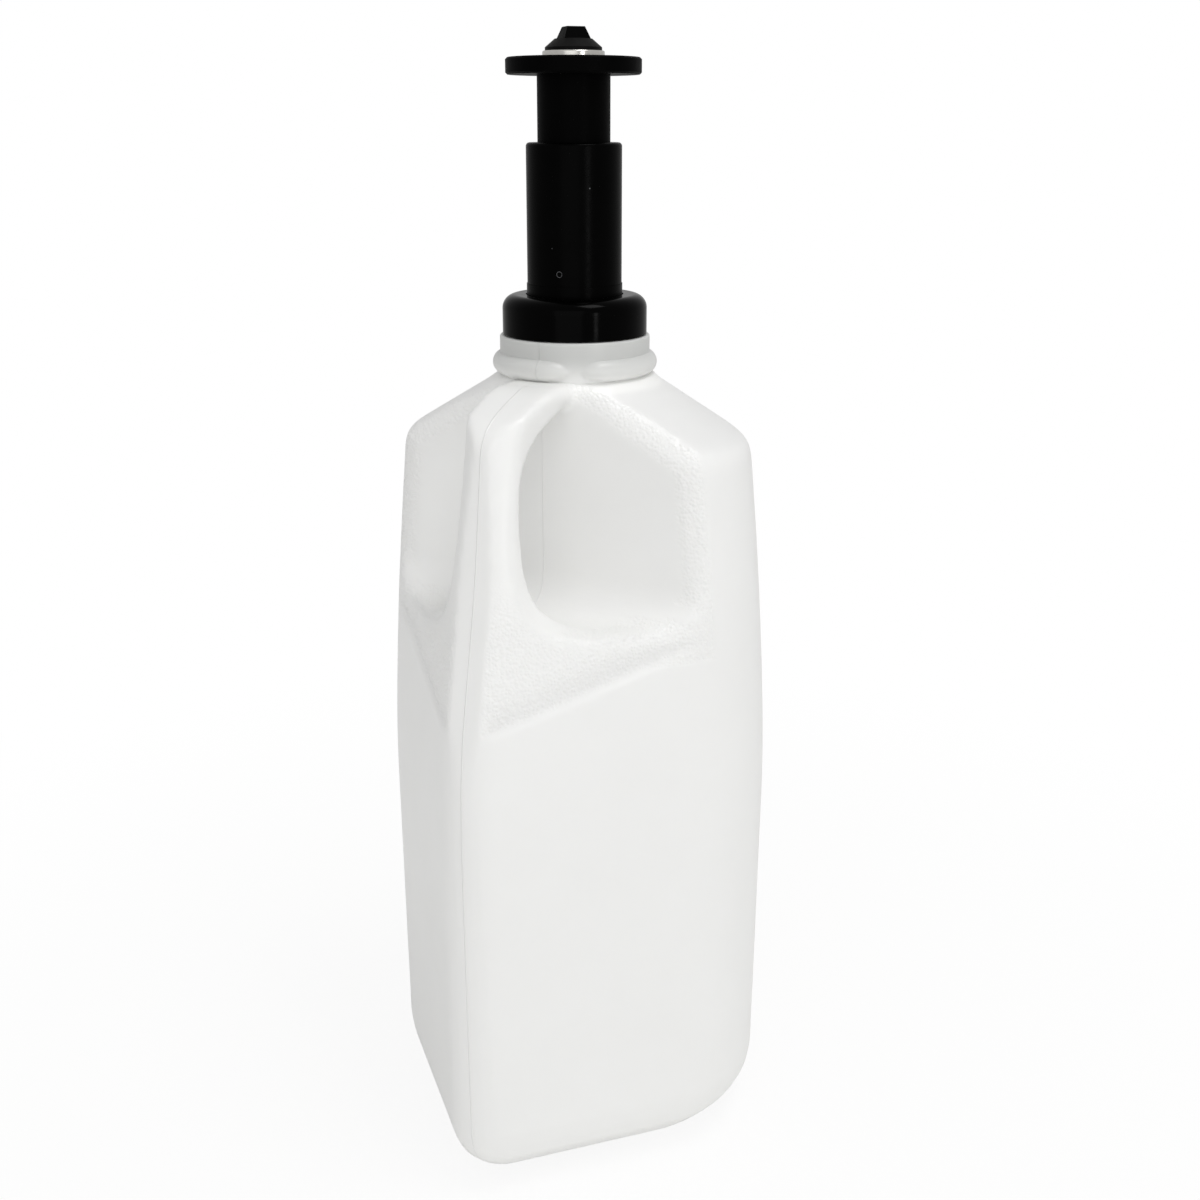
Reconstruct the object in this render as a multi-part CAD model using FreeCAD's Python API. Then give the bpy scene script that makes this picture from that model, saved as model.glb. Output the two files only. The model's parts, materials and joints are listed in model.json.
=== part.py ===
"""Detergent dispenser bottle: a blow-moulded jug with a corner handle and a push-to-dispense valve.

Millimetres, +Z up, origin on the neck axis in the plane the jug stands on.
The jug's faces look along X and Y and the handle is on the (-X, -Y) corner.
"""
import FreeCAD, Part
import math
import os

# Jug body
HALF_LOW = 50.8
HALF_MID = 51.6
HALF_TOP = 46.2
MID_Z = 108.0
SHOULDER_Z = 206.5
CORNER_R = 37.0
CORNER_R_TOP = 33.0
GRIP_CORNER_R = 12.0
BASE_EDGE_R = 20.0
BASE_ROUNDING = 0.4
BASE_CORNER_R = 5.0
BASE_STEPS = 6
BODY_STEPS = 8
WALL = 1.2
PUSH_UP = 3.5
PUSH_UP_MARGIN = 9.0

# Neck
NECK_BASE_Z = 228.5
NECK_OD = 42.2
NECK_TOP_Z = 239.3
BEAD_OD = 46.4
BEAD_SECTION = 6.2
BEAD_Z = 231.6
BEAD_GAP_DEG = 34.0
BEAD_GAP_AZIMUTH = -18.0
FINISH_OD = 37.4
FINISH_BORE = 32.0
RIM_Z = 245.6

# Handle recess and grip
RECESS_R = 20.0
RECESS_BEND_R = 10.0
FLOOR_Z = 165.0
RIM_BEVEL = 1.4
LIP_EDGE_R = 4.0
CREASE_EDGE_R = 3.0
CREASE_Z = 142.4
CREASE_X = -39.1
CREASE_RUN = 60.0
CREASE_RISE = 18.0
CREASE_DRAW = 0.9
FACET_LEAN = 0.15
GRIP_W = 16.0
GRIP_R = 55.3
GRIP_DEPTH = 8.6
GRIP_ROOT = 8.0
GRIP_EDGE_R = 2.4
GRIP_CREASE_R = 1.0

# Cap
CAP_OD = 40.5
CAP_TOP_Z = 250.4
CAP_TOP_T = 2.2
CAP_EDGE_R = 3.8
CAP_WALL = 1.25

# Barrel
BARREL_OD = 26.3
BARREL_TOP_Z = 291.3
BARREL_EDGE_R = 1.0
BARREL_WALL = 1.6
LIP_L = 4.0
FOOT_COLLAR_OD = 26.7
FOOT_COLLAR_H = 3.0
CLAMP_FLANGE_T = 1.6
SPRING_LEDGE_Z = 250.0
SPRING_LEDGE_W = 2.6
SKIRT_BOTTOM_Z = 235.0
GATE_MARK_D = 2.0
GATE_MARK_Z = 256.8
GATE_MARK_AZIMUTH = -37.0
GATE_MARK_DEPTH = 0.4

# Gasket under the barrel's clamp flange
GASKET_T = 1.0

# Plunger
TUBE_OD = 19.9
TUBE_WALL = 2.0
TUBE_BOTTOM_Z = 270.0
FLANGE_OD = 36.8
FLANGE_BOTTOM_Z = 308.9
FLANGE_T = 4.4
FLANGE_EDGE = 0.5
COLLAR_L = 4.2
COLLAR_RING_SECTION = 1.2

# Outlet
SEAT_OD = 16.8
SEAT_T = 1.7
SEAT_INSET = 0.3
SEAT_BORE = 12.0
SEAT_SPIGOT_L = 4.0
SEAL_OD = 15.4
SEAL_RIM_T = 0.8
SEAL_TOP_OD = 10.2
SEAL_CONE_H = 2.2
SEAL_PILOT_L = 2.6
NOSE_SIDE = 7.35
NOSE_TOP_SIDE = 4.9
NOSE_H = 3.1
NOSE_HOLLOW = 0.35

# Stem and what is on it
STEM_D = 4.0
CARRIER_T = 3.5
CARRIER_RIM_W = 2.2
CARRIER_HUB_D = 9.0
CARRIER_ARMS = 3
CARRIER_ARM_W = 2.6
WASHER_OD = 9.0
WASHER_T = 0.8
NUT_FLATS = 7.0
NUT_T = 3.2
STEM_TAIL = 1.2
STOPPER_Z = 257.0
STOPPER_T = 5.0
STOPPER_OD = 14.6
STOPPER_RING_OD = 15.5
STOPPER_RING_SECTION = 1.8
STEM_SHOULDER_OD = 6.4
STEM_SHOULDER_T = 1.0
CLIP_T = 0.7
CLIP_OD = 8.0
CLIP_GROOVE_DEPTH = 0.4

# Return spring
SPRING_WIRE = 1.0
SPRING_TURNS = 8.0
SPRING_STEPS = 16
SPRING_SIDES = 12
SPRING_WASHER_T = 0.8

# Clearances
SLIDE_GAP = 0.3
RING_GAP = 0.1
SEAT_GAP = 0.05
STEM_GAP = 0.05

UP = FreeCAD.Vector(0, 0, 1)
ZERO = FreeCAD.Vector(0, 0, 0)
X_AXIS = FreeCAD.Vector(1, 0, 0)
Y_AXIS = FreeCAD.Vector(0, 1, 0)
OUTWARD = FreeCAD.Vector(-math.sqrt(0.5), -math.sqrt(0.5), 0)
ACROSS = FreeCAD.Vector(math.sqrt(0.5), -math.sqrt(0.5), 0)

# Levels and radii that follow from the sizes above
CREASE_HALF = HALF_MID - 1.1
CAP_UNDERSIDE_Z = CAP_TOP_Z - CAP_TOP_T
FLANGE_TOP_Z = FLANGE_BOTTOM_Z + FLANGE_T
CLAMP_BOTTOM_Z = RIM_Z + GASKET_T
CLAMP_TOP_Z = CLAMP_BOTTOM_Z + CLAMP_FLANGE_T
BARREL_BORE_R = BARREL_OD / 2 - BARREL_WALL
LIP_BOTTOM_Z = BARREL_TOP_Z - LIP_L
LEDGE_R = BARREL_BORE_R - SPRING_LEDGE_W
TUBE_BORE_R = TUBE_OD / 2 - TUBE_WALL
COLLAR_TOP_Z = LIP_BOTTOM_Z - RING_GAP
COLLAR_BOTTOM_Z = COLLAR_TOP_Z - COLLAR_L
COLLAR_R = BARREL_BORE_R - SLIDE_GAP
SEAT_TOP_Z = FLANGE_TOP_Z + SEAT_T
SEAT_BOTTOM_Z = FLANGE_TOP_Z - SEAT_INSET
SEAL_BOTTOM_Z = SEAT_TOP_Z + SEAT_GAP
NOSE_BOTTOM_Z = SEAL_BOTTOM_Z + SEAL_RIM_T + SEAL_CONE_H
NOSE_TOP_Z = NOSE_BOTTOM_Z + NOSE_H
CARRIER_BOTTOM_Z = SKIRT_BOTTOM_Z + CARRIER_T
CARRIER_TOP_Z = CARRIER_BOTTOM_Z + CARRIER_T
CARRIER_R = BARREL_BORE_R - SEAT_GAP
WASHER_BOTTOM_Z = CARRIER_BOTTOM_Z - WASHER_T
NUT_BOTTOM_Z = WASHER_BOTTOM_Z - NUT_T
SPRING_BOTTOM_Z = SPRING_LEDGE_Z + SPRING_WASHER_T
SPRING_MEAN_R = (TUBE_OD / 2 + BARREL_BORE_R) / 2


def ring(inner_r, outer_r, bottom, top):
    """A plain ring, or a disc when the inner radius is nought."""
    solid = Part.makeCylinder(outer_r, top - bottom, FreeCAD.Vector(0, 0, bottom))
    if inner_r > 0:
        solid = solid.cut(Part.makeCylinder(inner_r, top - bottom, FreeCAD.Vector(0, 0, bottom)))
    return solid


def turned(points):
    """A solid turned about the Z axis from (radius, height) points."""
    corners = [FreeCAD.Vector(r, 0, z) for r, z in points]
    face = Part.Face(Part.makePolygon(corners + corners[:1]))
    return face.revolve(ZERO, UP, 360)


def spun_ring(mean_r, section, z):
    """A ring of round section."""
    return Part.makeTorus(mean_r, section / 2, FreeCAD.Vector(0, 0, z))


def circle_edges(shape, radius, z):
    """The circular edges of a shape at one radius and height."""
    found = []
    for edge in shape.Edges:
        curve = edge.Curve
        if isinstance(curve, Part.Circle) and abs(curve.Radius - radius) < 1e-3:
            if abs(curve.Center.z - z) < 1e-3:
                found.append(edge)
    return found


def rounded_loop(centre, u, v, spans, radii):
    """A closed four-cornered wire with its own radius at each corner.

    spans is (u low, u high, v low, v high) from the centre.
    radii run (low, low), (high, low), (high, high), (low, high).
    """
    u0, u1, v0, v1 = spans
    corners = [(u0, v0, 1, 1), (u1, v0, -1, 1), (u1, v1, -1, -1), (u0, v1, 1, -1)]

    def place(a, b):
        return centre + u * a + v * b

    starts = []
    mids = []
    ends = []
    for number, ((a, b, du, dv), r) in enumerate(zip(corners, radii)):
        bow = r * (1 - math.sqrt(0.5))
        along_v = place(a, b + dv * r)
        along_u = place(a + du * r, b)
        odd = number % 2 == 1
        starts.append(along_u if odd else along_v)
        ends.append(along_v if odd else along_u)
        mids.append(place(a + du * bow, b + dv * bow))
    edges = []
    for number in range(4):
        edges.append(Part.Arc(starts[number], mids[number], ends[number]).toShape())
        edges.append(Part.makeLine(ends[number], starts[(number + 1) % 4]))
    return Part.Wire(edges)


def base_levels():
    """(height, half side, corner radius, grip corner radius) over the rounded edge of the base."""
    levels = []
    for step in range(BASE_STEPS + 1):
        angle = math.pi / 2 * step / BASE_STEPS
        z = BASE_EDGE_R * (1 - math.cos(angle))
        inset = BASE_EDGE_R * (1 - math.sin(angle))
        grip_corner = GRIP_CORNER_R + (BASE_CORNER_R - GRIP_CORNER_R) * inset / BASE_EDGE_R
        levels.append((z, HALF_LOW - inset, CORNER_R - inset * BASE_ROUNDING, grip_corner))
    return levels


def side_half(z):
    """Half the jug's width at a height on its sides, which swell a little and then draw in."""
    swell = min(1.0, (z - BASE_EDGE_R) / (MID_Z - BASE_EDGE_R))
    taper = max(0.0, (z - MID_Z) / (SHOULDER_Z - MID_Z))
    return HALF_LOW + (HALF_MID - HALF_LOW) * swell + (HALF_TOP - HALF_MID) * taper ** 1.5


def body_levels():
    """The same four values up the sides."""
    levels = []
    for step in range(BODY_STEPS + 1):
        z = BASE_EDGE_R + (SHOULDER_Z - BASE_EDGE_R) * step / BODY_STEPS
        taper = max(0.0, (z - MID_Z) / (SHOULDER_Z - MID_Z))
        corner = CORNER_R + (CORNER_R_TOP - CORNER_R) * taper
        levels.append((z, side_half(z), corner, GRIP_CORNER_R))
    return levels


def shoulder_levels():
    """The same four values over the rounded edge and slope of the shoulder."""
    levels = body_levels()[-1:]
    climb = NECK_BASE_Z - SHOULDER_Z
    draw_in = HALF_TOP - NECK_OD / 2
    for up, inward in ((0.13, 0.02), (0.24, 0.075), (0.33, 0.165), (1.0, 1.0)):
        half = HALF_TOP - draw_in * inward
        corner = min(CORNER_R_TOP, half - 0.15)
        grip_corner = GRIP_CORNER_R + (NECK_OD / 2 - 0.15 - GRIP_CORNER_R) * inward
        levels.append((SHOULDER_Z + climb * up, half, corner, grip_corner))
    return levels


def jug_wires(levels, inset):
    """One rounded-square wire for each level, drawn in by an inset."""
    wires = []
    for z, half, corner, grip_corner in levels:
        height = inset + z * (NECK_BASE_Z - inset) / NECK_BASE_Z
        side = half - inset
        radii = (max(grip_corner - inset, 1.0), corner - inset, corner - inset, corner - inset)
        spans = (-side, side, -side, side)
        wires.append(rounded_loop(FreeCAD.Vector(0, 0, height), X_AXIS, Y_AXIS, spans, radii))
    return wires


def jug_block(inset):
    """The jug's outside shape before the recess, drawn in by an inset."""
    base = Part.makeLoft(jug_wires(base_levels(), inset), True, True)
    body = Part.makeLoft(jug_wires(body_levels(), inset), True, False)
    shoulder = Part.makeLoft(jug_wires(shoulder_levels(), inset), True, True)
    return base.fuse(body).fuse(shoulder)


def half_space(point, normal):
    """A block that fills the side of a plane its normal points away from."""
    size = 6 * NECK_BASE_Z
    block = Part.makeBox(size, size, size, FreeCAD.Vector(-size / 2, -size / 2, -size))
    block.Placement = FreeCAD.Placement(point, FreeCAD.Rotation(UP, normal))
    return block


def leaning_faces(inset):
    """(point, normal) of the two leaning facets beside the grip, drawn in by an inset."""
    facets = []
    for axis, other in ((X_AXIS, Y_AXIS), (Y_AXIS, X_AXIS)):
        foot = axis * CREASE_X - other * CREASE_HALF + UP * CREASE_Z
        along = axis * CREASE_RUN + other * CREASE_DRAW + UP * CREASE_RISE
        upward = other * FACET_LEAN + UP
        normal = along.cross(upward)
        normal.normalize()
        if normal.dot(other) > 0:
            normal = -normal
        facets.append((foot - normal * inset, normal))
    return facets


def rim_bevels(inset):
    """(point, normal) of the bevels along the recess's rim, up both sides and over the shoulder."""
    climb = NECK_BASE_Z - SHOULDER_Z
    draw_in = HALF_TOP - NECK_OD / 2
    half_up = (HALF_TOP + NECK_OD / 2) / 2
    reach = math.sqrt(half_up ** 2 - RECESS_R ** 2)
    bevels = []
    for axis, other, side in ((X_AXIS, Y_AXIS, 1), (Y_AXIS, X_AXIS, -1)):
        ends = []
        for z in (FLOOR_Z, SHOULDER_Z):
            half = side_half(z)
            ends.append(axis * (half - RECESS_R * math.sqrt(2)) - other * half + UP * z)
        along = ends[1] - ends[0]
        normal = along.cross((OUTWARD - other).cross(along)).normalize()
        bevels.append((ends[0] - normal * (RIM_BEVEL + inset), normal))
        slope = (UP * draw_in - other * climb).normalize()
        normal = (OUTWARD + slope).normalize()
        middle = OUTWARD * RECESS_R + ACROSS * (reach * side) + UP * (SHOULDER_Z + 0.6 * climb)
        bevels.append((middle - normal * (RIM_BEVEL + inset), normal))
    return bevels


def swept(low_line, high_line, across, start, sweep):
    """A solid swept from the face between two lines of (distance across, height) points."""
    edges = []
    ends = []
    for line in (low_line, high_line):
        points = [start + across * distance + UP * z for distance, z in line]
        curve = Part.BSplineCurve()
        curve.interpolate(points)
        edges.append(curve.toShape())
        ends.append((points[0], points[-1]))
    edges.append(Part.makeLine(ends[0][0], ends[1][0]))
    edges.append(Part.makeLine(ends[0][1], ends[1][1]))
    face = Part.Face(Part.Wire(Part.__sortEdges__(edges)))
    return face.extrude(sweep)


def recess_tool(inset):
    """What the recess takes away: all outside its wall and above its floor, with a round bend between."""
    wall = RECESS_R - inset
    floor = FLOOR_Z - inset
    bend = RECESS_BEND_R + inset
    far = 3 * HALF_MID
    side = -ACROSS * far

    def place(r, z):
        return side + OUTWARD * r + UP * z

    middle = bend * (1 - math.sqrt(0.5))
    start = place(wall, floor + bend)
    end = place(wall + bend, floor)
    arc = Part.Arc(start, place(wall + middle, floor + middle), end)
    top = 2 * FLOOR_Z
    rest = Part.makePolygon([end, place(far, floor), place(far, top), place(wall, top), start])
    face = Part.Face(Part.Wire([arc.toShape()] + rest.Edges))
    return face.extrude(ACROSS * (2 * far))


def recessed(block, inset):
    """The block with the handle recess cut out of its grip corner."""
    core = block.common(half_space(OUTWARD * (RECESS_R - inset), OUTWARD))
    for point, normal in rim_bevels(inset):
        core = core.common(half_space(point, normal))
    foot = block.cut(recess_tool(inset)).common(half_space(UP * (FLOOR_Z + RECESS_BEND_R), UP))
    for point, normal in leaning_faces(inset):
        foot = foot.common(half_space(point, normal))
    far = 2 * HALF_MID
    outer = grip_outline()[0]
    beyond = [(r + far, z) for r, z in outer]
    front = swept(shifted(outer, -inset), beyond, OUTWARD, ACROSS * -far, ACROSS * (2 * far))
    return core.fuse(foot.cut(front)).removeSplitter()


def softened(solid, edges, radius):
    """The solid with its edges rounded, by a smaller radius where the full one has no room."""
    for share in (1.0, 0.75, 0.5, 0.3):
        try:
            rounded = solid.makeFillet(radius * share, edges)
        except Part.OCCError:
            continue
        if rounded.isValid():
            return rounded
    return solid


def flat_edges(solid, point, normal):
    """The edges round the flat faces of a solid that lie in one plane, by their hash."""
    found = {}
    for face in solid.Faces:
        if isinstance(face.Surface, Part.Plane) and abs(face.normalAt(0, 0).dot(normal)) > 0.9999:
            if abs((face.CenterOfMass - point).dot(normal)) < 1e-3:
                for edge in face.Edges:
                    found[edge.hashCode()] = edge
    return found


def soft_recess(solid):
    """The solid with the lip of the recess's floor and the creases under it rounded."""
    floor = flat_edges(solid, UP * FLOOR_Z, UP)
    lip = []
    for point, normal in leaning_faces(0.0):
        facet = flat_edges(solid, point, normal)
        lip.extend(edge for number, edge in facet.items() if number in floor)
    solid = softened(solid, lip, LIP_EDGE_R)
    creases = []
    for point, normal in leaning_faces(0.0):
        for edge in flat_edges(solid, point, normal).values():
            if edge.Length > HALF_LOW * 0.8 and edge.CenterOfMass.z < FLOOR_Z - LIP_EDGE_R:
                creases.append(edge)
    return softened(solid, creases, CREASE_EDGE_R)


def grip_outline():
    """The grip's outer and inner lines as (radius, height) points, from its foot upwards."""
    front = GRIP_R
    back = GRIP_R - GRIP_DEPTH
    outer = [
        (front + 12.6, FLOOR_Z - 44),
        (front + 12.0, FLOOR_Z - 37),
        (front + 11.2, FLOOR_Z - 29),
        (front + 10.0, FLOOR_Z - 21),
        (front + 8.4, FLOOR_Z - 13),
        (front + 5.7, FLOOR_Z),
        (front + 2.6, FLOOR_Z + 16),
        (front, FLOOR_Z + 35),
        (front - 1.5, FLOOR_Z + 47),
        (front - 2.7, FLOOR_Z + 52.5),
        (front - 6.3, FLOOR_Z + 56.6),
        (front - 12.0, FLOOR_Z + 59.6),
        (front - 20.0, FLOOR_Z + 62.4),
        (front - 33.0, FLOOR_Z + 66.4),
    ]
    inner = [
        (back - 24.0, FLOOR_Z - 5.5),
        (back - 13.5, FLOOR_Z - 0.8),
        (back - 7.5, FLOOR_Z + 2.4),
        (back - 3.2, FLOOR_Z + 6.6),
        (back - 0.7, FLOOR_Z + 13.5),
        (back, FLOOR_Z + 24),
        (back - 0.5, FLOOR_Z + 36),
        (back - 2.6, FLOOR_Z + 44),
        (back - 8.0, FLOOR_Z + 50),
        (back - 17.0, FLOOR_Z + 54.3),
        (back - 29.0, FLOOR_Z + 58.5),
    ]
    return outer, inner


def grip_flare():
    """Half the grip's width as (distance across, height) points; it widens into its foot and its head."""
    half = GRIP_W / 2
    return [
        (half + 42.0, FLOOR_Z - 12),
        (half + 25.0, FLOOR_Z - 3),
        (half + 15.0, FLOOR_Z + 0.2),
        (half + 7.9, FLOOR_Z + 3.1),
        (half + 4.1, FLOOR_Z + 8),
        (half + 1.7, FLOOR_Z + 16.5),
        (half + 0.5, FLOOR_Z + 26),
        (half, FLOOR_Z + 38),
        (half, FLOOR_Z + 48),
        (half + 0.4, FLOOR_Z + 55),
        (half + 1.4, FLOOR_Z + 62),
        (half + 2.6, FLOOR_Z + 69),
    ]


def shifted(points, distance):
    """Points moved sideways from their own line, to its right for a positive distance."""
    moved = []
    for number, (r, z) in enumerate(points):
        before = points[max(number - 1, 0)]
        after = points[min(number + 1, len(points) - 1)]
        run = after[0] - before[0]
        rise = after[1] - before[1]
        length = math.hypot(run, rise)
        moved.append((r + rise / length * distance, z - run / length * distance))
    return moved


def grip(inset):
    """The hollow handle's outside, drawn in by an inset."""
    far = 2 * HALF_MID
    outer, inner = grip_outline()
    solid = swept(shifted(outer, -inset), shifted(inner, inset), OUTWARD, ACROSS * -far, ACROSS * (2 * far))
    right = shifted(grip_flare(), -inset)
    left = [(-distance, z) for distance, z in right]
    solid = solid.common(swept(left, right, ACROSS, OUTWARD * -far, OUTWARD * (2 * far)))
    for point, normal in leaning_faces(inset):
        solid = solid.common(half_space(point, normal))
    return solid.common(half_space(UP * (FLOOR_Z - GRIP_ROOT), -UP))


def soft_grip():
    """The handle's outside with its finger edges well rounded and its front creases just eased."""
    solid = grip(0.0)
    finger = []
    for edge in solid.Edges:
        middle = edge.CenterOfMass
        if edge.Length > GRIP_R / 2 and middle.z > FLOOR_Z and abs(middle.dot(ACROSS)) > GRIP_W / 2:
            finger.append(edge)
    solid = softened(solid, finger, GRIP_EDGE_R)
    creases = []
    for edge in solid.Edges:
        middle = edge.CenterOfMass
        if edge.Length > GRIP_R / 2 and middle.dot(OUTWARD) > GRIP_R and abs(middle.dot(ACROSS)) > 1.0:
            creases.append(edge)
    return softened(solid, creases, GRIP_CREASE_R)


def neck_bead():
    """The rounded bead round the neck, in two arcs with rounded ends."""
    mean_r = (BEAD_OD - BEAD_SECTION) / 2
    arc = 180 - BEAD_GAP_DEG
    pieces = []
    for turn in (0, 180):
        start = BEAD_GAP_AZIMUTH - 90 + BEAD_GAP_DEG / 2 + turn
        centre = FreeCAD.Vector(0, 0, BEAD_Z)
        piece = Part.makeTorus(mean_r, BEAD_SECTION / 2, centre, UP, -180, 180, arc)
        piece.rotate(ZERO, UP, start)
        pieces.append(piece)
        for degrees in (start, start + arc):
            angle = math.radians(degrees)
            end = FreeCAD.Vector(mean_r * math.cos(angle), mean_r * math.sin(angle), BEAD_Z)
            pieces.append(Part.makeSphere(BEAD_SECTION / 2, end))
    bead = pieces[0]
    for piece in pieces[1:]:
        bead = bead.fuse(piece)
    return bead


def bottle():
    """The hollow jug: body, recess, hollow grip and neck with its open finish."""
    outside = soft_recess(recessed(jug_block(0.0), 0.0)).fuse(soft_grip())
    outside = outside.fuse(ring(0, NECK_OD / 2, NECK_BASE_Z - 3.0, NECK_TOP_Z))
    outside = outside.fuse(neck_bead())
    outside = outside.fuse(ring(0, FINISH_OD / 2, NECK_TOP_Z, RIM_Z))
    inside = recessed(jug_block(WALL), WALL).fuse(grip(WALL))
    inside = inside.fuse(ring(0, NECK_OD / 2 - WALL, NECK_BASE_Z - 3.0, NECK_TOP_Z - WALL))
    push_half = HALF_LOW - BASE_EDGE_R - PUSH_UP_MARGIN
    dish = Part.makeCone(push_half, push_half - 2 * PUSH_UP, PUSH_UP)
    boss_half = push_half + WALL
    boss = Part.makeCone(boss_half, boss_half - 2 * PUSH_UP, PUSH_UP, FreeCAD.Vector(0, 0, WALL))
    inside = inside.cut(boss)
    solid = outside.cut(inside)
    solid = solid.cut(ring(0, FINISH_BORE / 2, NECK_TOP_Z - 2 * WALL, RIM_Z))
    return solid.cut(dish)


def cap():
    """The screw cap: a ring nut that clamps the barrel's flange on the rim."""
    bottom = NECK_TOP_Z + SLIDE_GAP
    solid = ring(0, CAP_OD / 2, bottom, CAP_TOP_Z)
    solid = solid.makeFillet(CAP_EDGE_R, circle_edges(solid, CAP_OD / 2, CAP_TOP_Z))
    solid = solid.cut(ring(0, CAP_OD / 2 - CAP_WALL, bottom, CAP_UNDERSIDE_Z))
    return solid.cut(ring(0, FOOT_COLLAR_OD / 2 + SLIDE_GAP, bottom, CAP_TOP_Z))


def cap_gasket():
    """The flat gasket between the rim and the barrel's clamp flange."""
    return ring(FINISH_BORE / 2 - 1.5, FINISH_OD / 2 - SLIDE_GAP, RIM_Z, CLAMP_BOTTOM_Z)


def barrel():
    """The outer sleeve: guide lip, spring chamber, ledge, clamp flange and skirt."""
    clamp_r = CAP_OD / 2 - CAP_WALL - 2 * SLIDE_GAP
    solid = ring(0, BARREL_OD / 2, SKIRT_BOTTOM_Z, BARREL_TOP_Z)
    solid = solid.makeFillet(BARREL_EDGE_R, circle_edges(solid, BARREL_OD / 2, BARREL_TOP_Z))
    solid = solid.fuse(ring(0, clamp_r, CLAMP_BOTTOM_Z, CLAMP_TOP_Z))
    solid = solid.fuse(ring(0, FOOT_COLLAR_OD / 2, CLAMP_TOP_Z, CAP_TOP_Z + FOOT_COLLAR_H))
    solid = solid.cut(ring(0, TUBE_OD / 2 + SLIDE_GAP, LIP_BOTTOM_Z, BARREL_TOP_Z))
    solid = solid.cut(ring(0, BARREL_BORE_R, SPRING_LEDGE_Z, LIP_BOTTOM_Z))
    solid = solid.cut(ring(0, LEDGE_R, CARRIER_TOP_Z, SPRING_LEDGE_Z))
    solid = solid.cut(ring(0, BARREL_BORE_R, SKIRT_BOTTOM_Z, CARRIER_TOP_Z))
    angle = math.radians(GATE_MARK_AZIMUTH - 90)
    away = FreeCAD.Vector(math.cos(angle), math.sin(angle), 0)
    start = away * (BARREL_OD / 2 - GATE_MARK_DEPTH) + UP * GATE_MARK_Z
    return solid.cut(Part.makeCylinder(GATE_MARK_D / 2, 2 * GATE_MARK_DEPTH, start, away))


def plunger():
    """The sliding tube with the push flange and its counterbore on top and the spring collar below."""
    edge = FLANGE_EDGE
    outer = TUBE_OD / 2
    rim = FLANGE_OD / 2
    points = [
        (TUBE_BORE_R, TUBE_BOTTOM_Z),
        (outer, TUBE_BOTTOM_Z),
        (outer, COLLAR_BOTTOM_Z),
        (COLLAR_R, COLLAR_BOTTOM_Z),
        (COLLAR_R, COLLAR_TOP_Z),
        (outer, COLLAR_TOP_Z),
        (outer, FLANGE_BOTTOM_Z),
        (rim - edge, FLANGE_BOTTOM_Z),
        (rim, FLANGE_BOTTOM_Z + edge),
        (rim, FLANGE_TOP_Z - edge),
        (rim - edge, FLANGE_TOP_Z),
        (TUBE_BORE_R, FLANGE_TOP_Z),
    ]
    solid = turned(points)
    solid = solid.cut(ring(0, SEAT_OD / 2 + STEM_GAP, SEAT_BOTTOM_Z, FLANGE_TOP_Z))
    half = COLLAR_RING_SECTION / 2
    mid = (COLLAR_TOP_Z + COLLAR_BOTTOM_Z) / 2
    floor_r = BARREL_BORE_R - RING_GAP - COLLAR_RING_SECTION
    return solid.cut(ring(floor_r, COLLAR_R + 1, mid - half - SEAT_GAP, mid + half + SEAT_GAP))


def plunger_o_ring():
    """The ring that seals the plunger's collar in the barrel."""
    mean_r = BARREL_BORE_R - RING_GAP - COLLAR_RING_SECTION / 2
    return spun_ring(mean_r, COLLAR_RING_SECTION, (COLLAR_TOP_Z + COLLAR_BOTTOM_Z) / 2)


def seat_ring():
    """The steel seat pressed into the top of the plunger."""
    spigot_r = TUBE_BORE_R - STEM_GAP
    points = [
        (SEAT_BORE / 2, FLANGE_TOP_Z - SEAT_SPIGOT_L),
        (spigot_r, FLANGE_TOP_Z - SEAT_SPIGOT_L),
        (spigot_r, SEAT_BOTTOM_Z),
        (SEAT_OD / 2, SEAT_BOTTOM_Z),
        (SEAT_OD / 2, SEAT_TOP_Z),
        (SEAT_BORE / 2, SEAT_TOP_Z),
    ]
    solid = turned(points)
    return solid.makeFillet(SEAT_T / 4, circle_edges(solid, SEAT_OD / 2, SEAT_TOP_Z))


def valve_seal():
    """The conical rubber seal that closes on the seat ring."""
    bore_r = STEM_D / 2 + STEM_GAP
    pilot_r = SEAT_BORE / 2 - 2 * SLIDE_GAP
    rim_z = SEAL_BOTTOM_Z + SEAL_RIM_T
    points = [
        (bore_r, SEAL_BOTTOM_Z - SEAL_PILOT_L),
        (pilot_r - SEAL_PILOT_L / 2, SEAL_BOTTOM_Z - SEAL_PILOT_L),
        (pilot_r, SEAL_BOTTOM_Z),
        (SEAL_OD / 2, SEAL_BOTTOM_Z),
        (SEAL_OD / 2, rim_z),
        (SEAL_TOP_OD / 2, NOSE_BOTTOM_Z),
        (bore_r, NOSE_BOTTOM_Z),
    ]
    return turned(points)


def valve_nose():
    """The tapered square nut on the stem's end, with a shallow hollow in its top."""
    low = NOSE_SIDE / 2
    high = NOSE_TOP_SIDE / 2
    wires = []
    for half, z in ((low, NOSE_BOTTOM_Z), (high, NOSE_TOP_Z)):
        corners = [(-half, -half), (half, -half), (half, half), (-half, half)]
        points = [FreeCAD.Vector(x, y, z) for x, y in corners]
        wires.append(Part.makePolygon(points + points[:1]))
    solid = Part.makeLoft(wires, True, True)
    dish_r = (high * high + NOSE_HOLLOW * NOSE_HOLLOW) / (2 * NOSE_HOLLOW)
    centre = FreeCAD.Vector(0, 0, NOSE_TOP_Z - NOSE_HOLLOW + dish_r)
    solid = solid.cut(Part.makeSphere(dish_r, centre))
    return solid.cut(ring(0, STEM_D / 2 + STEM_GAP, NOSE_BOTTOM_Z, NOSE_BOTTOM_Z + NOSE_H / 2))


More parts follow.
